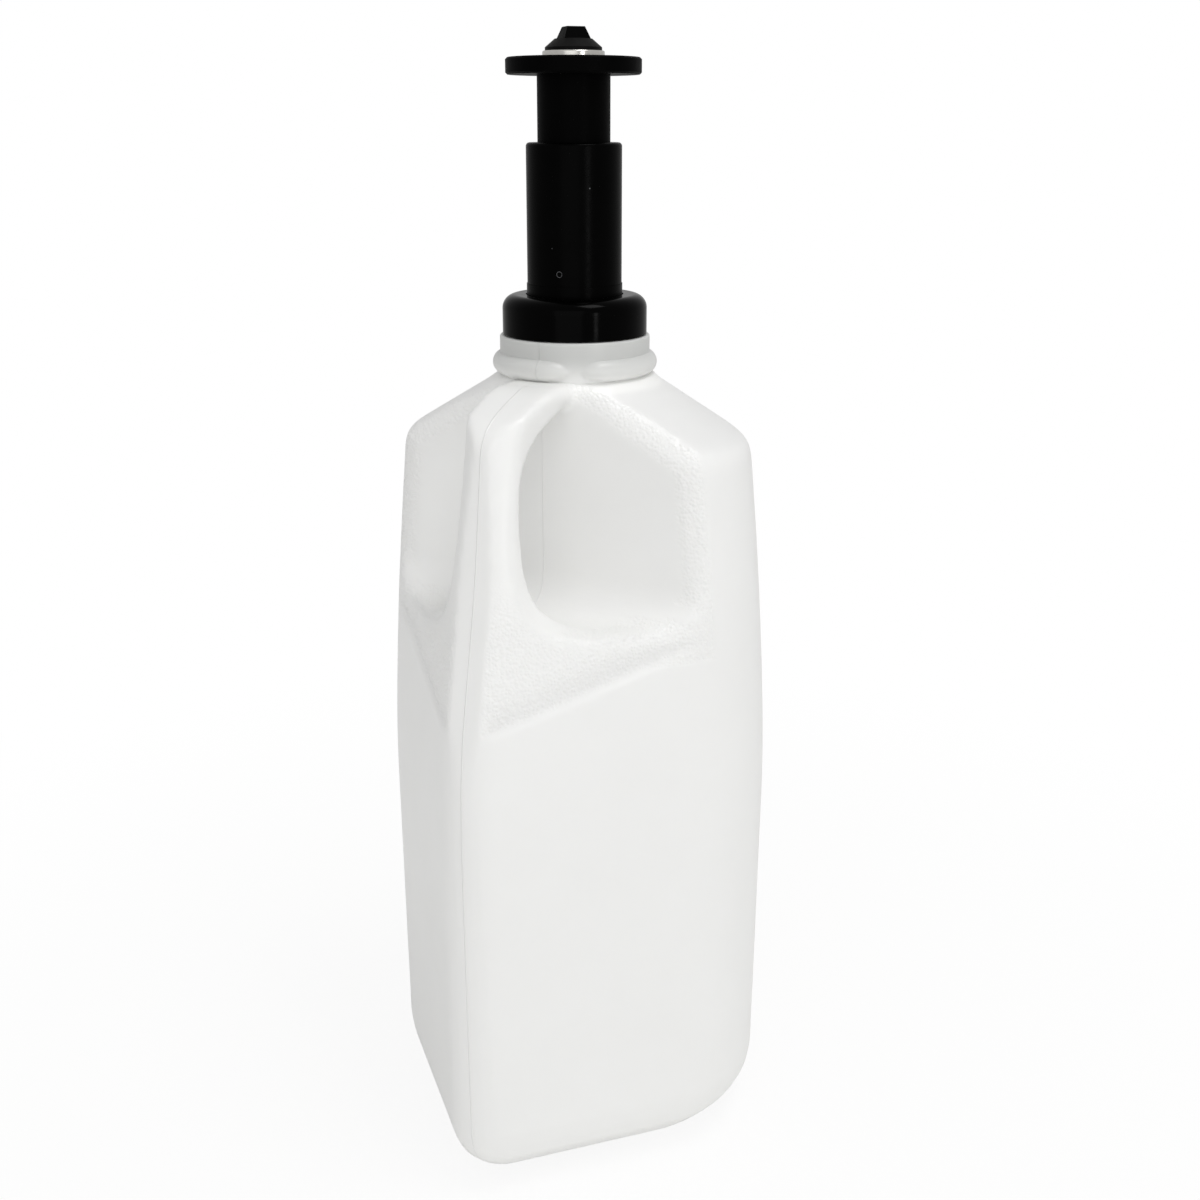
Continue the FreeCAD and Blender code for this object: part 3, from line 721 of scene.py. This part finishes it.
@dataclass
class Jug:
    """The blow-moulded jug with its hollow corner handle, and the neck with its bead and open finish."""

    # The skin: its mesh size, where its CAD shape is cut off, and how it meets the neck.
    voxel: float = 1.18
    skin_passes: int = 2
    skin_drop: float = 3.0
    cut_over: float = 0.2
    mouth_lap: float = 1.5
    # The neck, its bead in two arcs, and its collar.
    neck_base: float = 228.5
    neck_lap: float = 3.0
    neck_r: float = 21.1
    neck_faces: int = 180
    foot_inset: float = 0.4
    bead_r: float = 20.1
    bead_section_r: float = 3.1
    bead_z: float = 231.6
    bead_levels: int = 18
    bead_gap_deg: float = 34.0
    bead_gap_at: float = -108.0
    bead_taper: Span = (3.0, 4.6)
    collar_top: float = 239.3
    collar_round: float = 0.7
    collar_steps: int = 5
    # The open finish with its rim and thread.
    rim: float = 245.6
    rim_round: float = 0.5
    rim_steps: int = 4
    bore_r: float = 16.0
    bore_round: float = 0.4
    finish_r: float = 18.7
    finish_chamfer: float = 0.4
    thread_depth: float = 1.3
    thread_pitch: float = 4.2
    thread_turns: float = 1.1
    thread_steps: int = 80
    thread_start: float = 1.3
    thread_foot: Span = (0.3, 1.0)
    thread_crest: Span = (0.06, 0.35)
    thread_sink: float = 0.2
    thread_runout: float = 0.2
    # The handle's recess, lip and head.
    recess_r: float = 20.0
    floor_z: float = 165.0
    lip: float = 9.0
    bevel: float = 1.4
    front_half: float = 5.0
    head_r: float = 38.0
    head_fade: float = 8.0
    head_deep: float = 9.0
    head_passes: int = 16
    # The stipple's limits, from the recess's wall, its floor, the lip, the handle's front or a plane.
    facet_inset: float = 1.0
    facet_above: float = 2.0
    facet_fade: Span = (-1.2, -0.6)
    crease_fade: Span = (-0.05, 0.15)
    lip_fade: Span = (-4.0, 2.0)
    front_fade: float = 1.0
    flank_inset: float = 4.0
    flank_facing: Span = (0.8, 0.92)
    flank_fade: Span = (2.0, 24.0)
    rim_reach: Span = (10.0, 1.0)
    rim_fade: Span = (-1.3, -0.4)
    # The ledge along the facet's foot: how deep it is, and where it sets in and runs out.
    ledge_depth: float = 0.6
    ledge_rise: Span = (-0.12, 0.12)
    ledge_fall: Span = (0.2, 0.9)
    ledge_start: float = 3.0
    ledge_end: Span = (-6.0, -2.0)
    # The panel, facet and rim as the CAD jug has them, on the right of the handle.
    panel_half: float = 51.6
    panel_draw: float = 5.4
    panel_from: float = 108.0
    panel_run: float = 98.5
    panel_power: float = 1.5
    facet_foot: Point = (-39.1, -50.5, 142.4)
    facet_along: Point = (60.0, 0.9, 18.0)
    facet_upward: Point = (0.0, 0.15, 1.0)
    rim_foot: Point = (20.94, -49.22, 165.0)
    rim_head: Point = (17.92, -46.2, 206.5)
    rim_lean: Point = (-0.707, -1.707, 0.0)
    rim_top: Point = (4.99, -33.28, 219.7)
    rim_top_normal: Point = (-0.413, -0.798, 0.439)

    def build(self) -> None:
        """Builds the skin and the neck."""
        self.skin()
        self.neck()

    def shell(self, name: str, outer: bool, top: float) -> bpy.types.Object:
        """Copies one side of the CAD jug's wall.

        Args:
            name: the copy's name.
            outer: the outside where true, and the inside where false.
            top: the height it is cut off at, in millimetres.

        Returns:
            The copy, open at the top.
        """
        obj = copy_node("bottle", name)
        cut_above(obj, top)
        furthest = max(vertex.co.x for vertex in obj.data.vertices)
        pick_vertices(obj, lambda place: place.x > furthest - SAME)
        with editing(obj):
            bpy.ops.mesh.select_linked()
            if outer:
                bpy.ops.mesh.select_all(action="INVERT")
            bpy.ops.mesh.delete(type="VERT")
        return obj

    def skin(self) -> None:
        """Makes one soft even skin from the CAD jug's outside, and backs it with the CAD jug's inside."""
        obj = self.shell("jug_skin", True, self.collar_top - self.skin_drop)
        close_holes(obj)
        apply_modifier(obj, "REMESH", mode="VOXEL", voxel_size=self.voxel * MM)
        cut_above(obj, self.neck_base + self.cut_over, fill=True)
        apply_modifier(obj, "REMESH", mode="VOXEL", voxel_size=self.voxel * MM)
        apply_modifier(obj, "SMOOTH", factor=SMOOTH_FACTOR, iterations=self.skin_passes)
        self.open_neck(obj)
        self.soften_head(obj)
        self.mark_stipple(obj)
        self.sink_ledge(obj)
        join(obj, self.shell("jug_inside", False, self.neck_base - self.neck_lap))
        settle(obj, NATURAL_HDPE, Body.BOTTLE, ["bottle"], NEVER_SHARP)

    def open_neck(self, obj: bpy.types.Object) -> None:
        """Takes out the disc that closes the skin inside the neck.

        Args:
            obj: the outer skin.
        """
        mouth = (self.neck_r - self.mouth_lap) * MM
        disc = (self.neck_base - self.mouth_lap) * MM
        pick_vertices(obj, lambda place: place.z > disc and math.hypot(place.x, place.y) < mouth)
        with editing(obj):
            bpy.ops.mesh.delete(type="VERT")

    def soften_head(self, obj: bpy.types.Object) -> None:
        """Rounds the handle's head where it runs in under the bead.

        Args:
            obj: the outer skin.
        """
        group = obj.vertex_groups.new(name="head")
        foot = self.neck_base - self.head_deep
        for vertex in obj.data.vertices:
            x, y, z = vertex.co / MM
            r = math.hypot(x, y)
            if z > foot and r > self.neck_r and x + y < 0:
                low = ease(z, foot, self.neck_base - self.head_deep / 2)
                near = 1 - ease(r, self.head_r - self.head_fade, self.head_r)
                group.add([vertex.index], low * near, "REPLACE")
        apply_modifier(obj, "SMOOTH", factor=SMOOTH_FACTOR, iterations=self.head_passes,
                       vertex_group=group.name)

    @cached_property
    def facet(self) -> Plane:
        """Gives the leaning facet under the recess.

        Returns:
            Its plane.
        """
        along = Vector(self.facet_along)
        return Plane(Vector(self.facet_foot), along.cross(Vector(self.facet_upward)).normalized())

    @cached_property
    def bevels(self) -> list[Plane]:
        """Gives the bevels of the recess's rim: up its side and over its top.

        Returns:
            Their planes.
        """
        foot = Vector(self.rim_foot)
        along = Vector(self.rim_head) - foot
        side = along.cross(Vector(self.rim_lean).cross(along)).normalized()
        top = Vector(self.rim_top_normal).normalized()
        return [Plane(foot - side * self.bevel, side),
                Plane(Vector(self.rim_top) - top * self.bevel, top)]

    def past_crease(self, place: Vector) -> float:
        """Measures how far a point lies past the crease at the facet's foot.

        Args:
            place: the point in millimetres, on the right of the handle.

        Returns:
            A measure that is positive on the facet, nought on its foot and negative on the panel below.
        """
        climb = max(0.0, (place.z - self.panel_from) / self.panel_run)
        half = self.panel_half - self.panel_draw * climb ** self.panel_power
        return place.y + half + self.facet.over(place)

    def off_front(self, spot: Spot) -> float:
        """Fades the stipple out on the handle's front.

        Args:
            spot: where the point lies.

        Returns:
            The share that is left, from nought to one.
        """
        return ease(spot.wide, self.front_half - self.front_fade, self.front_half + self.front_fade)

    def facet_stipple(self, spot: Spot) -> float:
        """Gives the stipple on the facet and on the lip over it.

        Args:
            spot: where the point lies.

        Returns:
            The stipple's strength, from nought to one.
        """
        z = spot.right.z
        if spot.out <= self.recess_r - self.facet_inset or z >= self.floor_z + self.facet_above:
            return 0.0
        over = self.facet.over(spot.right)
        strength = ease(self.past_crease(spot.right), *self.crease_fade) * ease(over, *self.facet_fade)
        if z > self.floor_z - self.lip:
            strength = max(strength, ease(over, self.lip_fade[0] - self.lip, self.lip_fade[1] - self.lip))
        return strength * self.off_front(spot)

    def flank_stipple(self, spot: Spot, normal: Vector) -> float:
        """Gives the stipple on the lower flanks of the handle.

        Args:
            spot: where the point lies.
            normal: the way the skin faces there.

        Returns:
            The stipple's strength, from nought to one.
        """
        z = spot.right.z
        if spot.out <= self.recess_r + self.flank_inset or z <= self.floor_z - self.flank_inset:
            return 0.0
        facing = ease(-min(normal.x, normal.y), *self.flank_facing)
        low = 1 - ease(z, self.floor_z + self.flank_fade[0], self.floor_z + self.flank_fade[1])
        return facing * self.off_front(spot) * low

    def rim_stipple(self, spot: Spot) -> float:
        """Gives the stipple on the bevels of the recess's rim.

        Args:
            spot: where the point lies.

        Returns:
            The stipple's strength, from nought to one.
        """
        inner, outer = self.rim_reach
        if spot.right.z <= self.floor_z - self.lip or not inner < spot.out < self.recess_r + outer:
            return 0.0
        return ease(max(plane.over(spot.right) for plane in self.bevels), *self.rim_fade)

    def mark_stipple(self, obj: bpy.types.Object) -> None:
        """Writes how strongly each point of the skin is stippled.

        Args:
            obj: the outer skin.
        """
        layer = obj.data.attributes.new(STIPPLE, "FLOAT", "POINT")
        for vertex in obj.data.vertices:
            spot = Spot.of(vertex)
            layer.data[vertex.index].value = max(
                self.facet_stipple(spot), self.flank_stipple(spot, vertex.normal), self.rim_stipple(spot))

    def ledge(self, spot: Spot) -> float:
        """Gives how deep a point of the skin is sunk behind the panel.

        Args:
            spot: where the point lies.

        Returns:
            The depth in millimetres.
        """
        z = spot.right.z
        if spot.out <= self.recess_r or z >= self.floor_z or spot.wide <= self.front_half:
            return 0.0
        past = self.past_crease(spot.right)
        sunk = ease(past, *self.ledge_rise) * (1 - ease(past, *self.ledge_fall))
        sunk *= ease(spot.wide, self.front_half, self.front_half + self.ledge_start)
        sunk *= 1 - ease(z, self.floor_z + self.ledge_end[0], self.floor_z + self.ledge_end[1])
        return sunk * self.ledge_depth

    def sink_ledge(self, obj: bpy.types.Object) -> None:
        """Sinks the facet's foot behind the panel, which leaves a fine ledge along the crease.

        Args:
            obj: the outer skin.
        """
        moves = [-vertex.normal * (self.ledge(Spot.of(vertex)) * MM) for vertex in obj.data.vertices]
        for vertex, move in zip(obj.data.vertices, moves):
            vertex.co += move

    def bead_reach(self, place: Vector) -> float:
        """Gives the neck's radius at a point on its side, with the bead's two arcs on it.

        Args:
            place: the point in metres.

        Returns:
            The radius in millimetres.
        """
        turn = math.degrees(math.atan2(place.y, place.x)) - self.bead_gap_at
        # The two gaps stand half a turn apart.
        from_gap = abs((turn + 90) % 180 - 90)
        past_end = math.radians(self.bead_gap_deg / 2 - from_gap) * self.bead_r
        before, after = self.bead_taper
        share = max(0.0, min(1.0, (past_end + before) / (before + after)))
        section = self.bead_section_r * math.sqrt(1 - share * share)
        height = place.z / MM - self.bead_z
        swell = section ** 2 - height ** 2
        return max(self.neck_r, self.bead_r + math.sqrt(swell)) if swell > 0 else self.neck_r

    def neck(self) -> None:
        """Makes the neck: its bead in two arcs, its collar, and the open finish with rim and thread."""
        root = self.finish_r - self.thread_depth
        foot = self.neck_base - self.neck_lap
        profile = [(self.bore_r, foot), (self.neck_r - self.foot_inset, foot)]
        for step in range(self.bead_levels + 1):
            level = self.bead_z - self.bead_section_r * math.cos(math.pi * step / self.bead_levels)
            profile.append((self.neck_r, level))
        profile += arc((self.neck_r - self.collar_round, self.collar_top - self.collar_round),
                       self.collar_round, 0, 90, self.collar_steps)
        profile += [(root + self.finish_chamfer, self.collar_top),
                    (root, self.collar_top + self.finish_chamfer)]
        profile += arc((root - self.rim_round, self.rim - self.rim_round),
                       self.rim_round, 0, 90, self.rim_steps)
        profile += arc((self.bore_r + self.bore_round, self.rim - self.bore_round),
                       self.bore_round, 90, 180, self.rim_steps)
        ring = lathe("jug_neck", profile, self.neck_faces)
        for vertex in ring.data.vertices:
            r = math.hypot(vertex.co.x, vertex.co.y)
            if abs(r - self.neck_r * MM) < SAME:
                share = self.bead_reach(vertex.co) * MM / r
                vertex.co.x *= share
                vertex.co.y *= share
        join(ring, self.thread(root))
        settle(ring, NATURAL_HDPE, Body.BOTTLE, ["bottle"])

    def thread(self, root: float) -> bpy.types.Object:
        """Makes the helical thread ridge, tapered at both ends.

        Args:
            root: the radius that the ridge stands on.

        Returns:
            The closed ridge.
        """
        obj = new_plane("neck_thread", MM)
        start = self.collar_top + self.thread_start
        rise = self.thread_pitch * self.thread_turns
        foot, foot_half = root - self.thread_foot[0], self.thread_foot[1]
        crest, crest_half = self.finish_r - self.thread_crest[0], self.thread_crest[1]
        # A new plane counts its corners row by row.
        corners = [(foot, -foot_half), (crest, -crest_half), (foot, foot_half), (crest, crest_half)]
        for vertex, (r, z) in zip(obj.data.vertices, corners):
            vertex.co = Vector((r * MM, 0, (z + start) * MM))
        apply_modifier(obj, "SCREW", angle=2 * math.pi * self.thread_turns, steps=self.thread_steps,
                       render_steps=self.thread_steps, screw_offset=rise * MM, axis="Z",
                       use_merge_vertices=False)
        sunk = (root - self.thread_sink) * MM
        for vertex in obj.data.vertices:
            climb = (vertex.co.z / MM - start) / rise
            from_end = min(climb, 1 - climb) + self.thread_runout
            ends = min(1.0, max(0.0, from_end / self.thread_runout))
            r = math.hypot(vertex.co.x, vertex.co.y)
            if r > root * MM:
                share = (sunk + (r - sunk) * ends) / r
                vertex.co.x *= share
                vertex.co.y *= share
        close_holes(obj)
        with editing(obj):
            bpy.ops.mesh.select_all(action="SELECT")
            bpy.ops.mesh.normals_make_consistent(inside=False)
        return obj


@dataclass
class PushValve:
    """The screw cap and the push valve, whose CAD nodes keep their shape, and a copy of the return spring.
    """

    dressing: dict[str, Finish] = field(default_factory=lambda: {
        "cap": GLOSS_PP, "barrel": SATIN_ACETAL, "plunger": MATT_ACETAL, "valve_nose": MATT_ACETAL,
        "inlet_stopper": MATT_ACETAL, "stem_carrier": MATT_ACETAL, "valve_seal": NITRILE,
        "plunger_o_ring": NITRILE, "inlet_o_ring": NITRILE, "cap_gasket": NITRILE,
        "seat_ring": STAINLESS, "valve_stem": STAINLESS, "stem_washer": STAINLESS,
        "stem_nut": STAINLESS, "stopper_clip": STAINLESS, "spring_washer": STAINLESS,
    })
    travel: float = 15.0

    def build(self) -> None:
        """Gives each carried-over CAD node its finish, and puts in a copy of the return spring."""
        for name, finish in self.dressing.items():
            node = frame["nodes"][name]
            node.data.materials.clear()
            node.data.materials.append(finish.material())
            LOG.info("%s: %s", name, finish.name)
        self.spring()

    def spring(self) -> None:
        """Copies the return spring onto the valve's body, with a mesh of its own."""
        obj = copy_node("return_spring", "return_spring_coil")
        settle(obj, STAINLESS, Body.VALVE, ["return_spring"])
        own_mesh(obj)


@dataclass(frozen=True)
class Lamp:
    """One soft box that faces the bottle, in metres and watts."""

    name: str
    place: Point
    size: Span
    power: float

    def hang(self, height: float) -> None:
        """Hangs the lamp.

        Args:
            height: the height on the bottle's axis that it faces, in metres.
        """
        data = bpy.data.lights.new(self.name, "AREA")
        data.shape = "RECTANGLE"
        data.size, data.size_y = self.size
        data.energy = self.power
        lamp = bpy.data.objects.new(self.name, data)
        bpy.context.scene.collection.objects.link(lamp)
        lamp.location = self.place
        aim = Vector((0, 0, height)) - Vector(self.place)
        lamp.rotation_euler = aim.to_track_quat("-Z", "Y").to_euler()


@dataclass
class Studio:
    """The white studio in metres: floor, world, soft lamps and the photograph's camera."""

    camera_at: Point = (-0.1298, -0.397, 0.2974)
    yaw_deg: float = 19.08
    tilt_deg: float = 15.88
    focal_px: float = 1480.0
    frame_px: float = 1200.0
    axis_px: Span = (600.0, 540.0)
    sensor_mm: float = 36.0
    near: float = 0.01
    lamps: tuple[Lamp, ...] = (
        Lamp("front_softbox", (-0.55, -1.05, 0.50), (1.0, 1.0), 2.3),
        Lamp("front_strip", (0.27, -1.00, 0.30), (0.10, 0.42), 0.9),
        Lamp("top_softbox", (0.20, -0.30, 1.10), (0.35, 0.35), 3.3),
    )
    lamp_aim: float = 0.16
    sky_light: float = 0.63
    floor_size: float = 6.0
    floor_drop: float = 0.0004
    floor_colour: str = "#F4F4F3"
    glow_reach: Span = (0.05, 0.4)
    glow_share: Span = (0.88, 1.0)

    def build(self) -> None:
        """Builds the studio round the object."""
        bpy.context.scene.view_settings.view_transform = "Standard"
        self.world()
        self.floor()
        for lamp in self.lamps:
            lamp.hang(self.lamp_aim)
        self.camera()

    def world(self) -> None:
        """Makes the world white to the eye and softer as a light."""
        world = bpy.data.worlds.new("white_studio")
        bpy.context.scene.world = world
        world.use_nodes = True
        tree = world.node_tree
        tree.nodes.clear()
        path = add_node(tree, "ShaderNodeLightPath")
        seen = compute(tree, "MAXIMUM", (path, "Is Camera Ray"), (path, "Is Transmission Ray"))
        level = remap(tree, seen, (0.0, 1.0), (self.sky_light, 1.0))
        sky = add_node(tree, "ShaderNodeBackground", {}, {"Color": linear(WHITE), "Strength": level})
        add_node(tree, "ShaderNodeOutputWorld", {}, {"Surface": (sky, "Background")})

    def floor(self) -> None:
        """Lays the pale floor, which keeps some of the object's shadow and fades to white round it."""
        floor = new_plane("studio_floor", self.floor_size)
        floor.location.z = -self.floor_drop
        material = bpy.data.materials.new("matt_white_sweep")
        material.use_nodes = True
        tree = material.node_tree
        tree.nodes.clear()
        path = add_node(tree, "ShaderNodeLightPath")
        paper = add_node(tree, "ShaderNodeBsdfDiffuse", {}, {"Color": linear(self.floor_colour)})
        glow = add_node(tree, "ShaderNodeEmission", {}, {"Color": linear(WHITE), "Strength": 1.0})
        place = add_node(tree, "ShaderNodeTexCoord")
        reach = add_node(tree, "ShaderNodeVectorMath", {"operation": "LENGTH"}, {0: (place, "Object")})
        fade = remap(tree, (reach, "Value"), self.glow_reach, self.glow_share, smooth=True)
        share = compute(tree, "MULTIPLY", (path, "Is Camera Ray"), fade)
        mixed = add_node(tree, "ShaderNodeMixShader", {},
                         {0: share, 1: (paper, "BSDF"), 2: (glow, "Emission")})
        add_node(tree, "ShaderNodeOutputMaterial", {}, {"Surface": (mixed, "Shader")})
        floor.data.materials.append(material)

    def camera(self) -> None:
        """Stands the camera where the photograph was taken from."""
        data = bpy.data.cameras.new("photo_camera")
        data.sensor_width = self.sensor_mm
        data.sensor_fit = "HORIZONTAL"
        data.lens = self.focal_px / self.frame_px * self.sensor_mm
        data.shift_x = (self.frame_px / 2 - self.axis_px[0]) / self.frame_px
        data.shift_y = (self.axis_px[1] - self.frame_px / 2) / self.frame_px
        data.clip_start = self.near
        camera = bpy.data.objects.new("photo_camera", data)
        bpy.context.scene.collection.objects.link(camera)
        camera.location = self.camera_at
        yaw = math.radians(self.yaw_deg)
        tilt = math.radians(self.tilt_deg)
        aim = Vector((math.sin(yaw) * math.cos(tilt), math.cos(yaw) * math.cos(tilt), -math.sin(tilt)))
        camera.rotation_euler = aim.to_track_quat("-Z", "Y").to_euler()
        bpy.context.scene.camera = camera


def main() -> None:
    """Builds the pieces in order and dresses them."""
    logging.basicConfig(level=logging.INFO, format="%(name)s: %(message)s")
    Jug().build()
    PushValve().build()
    Studio().build()


if __name__ == "__main__":
    main()
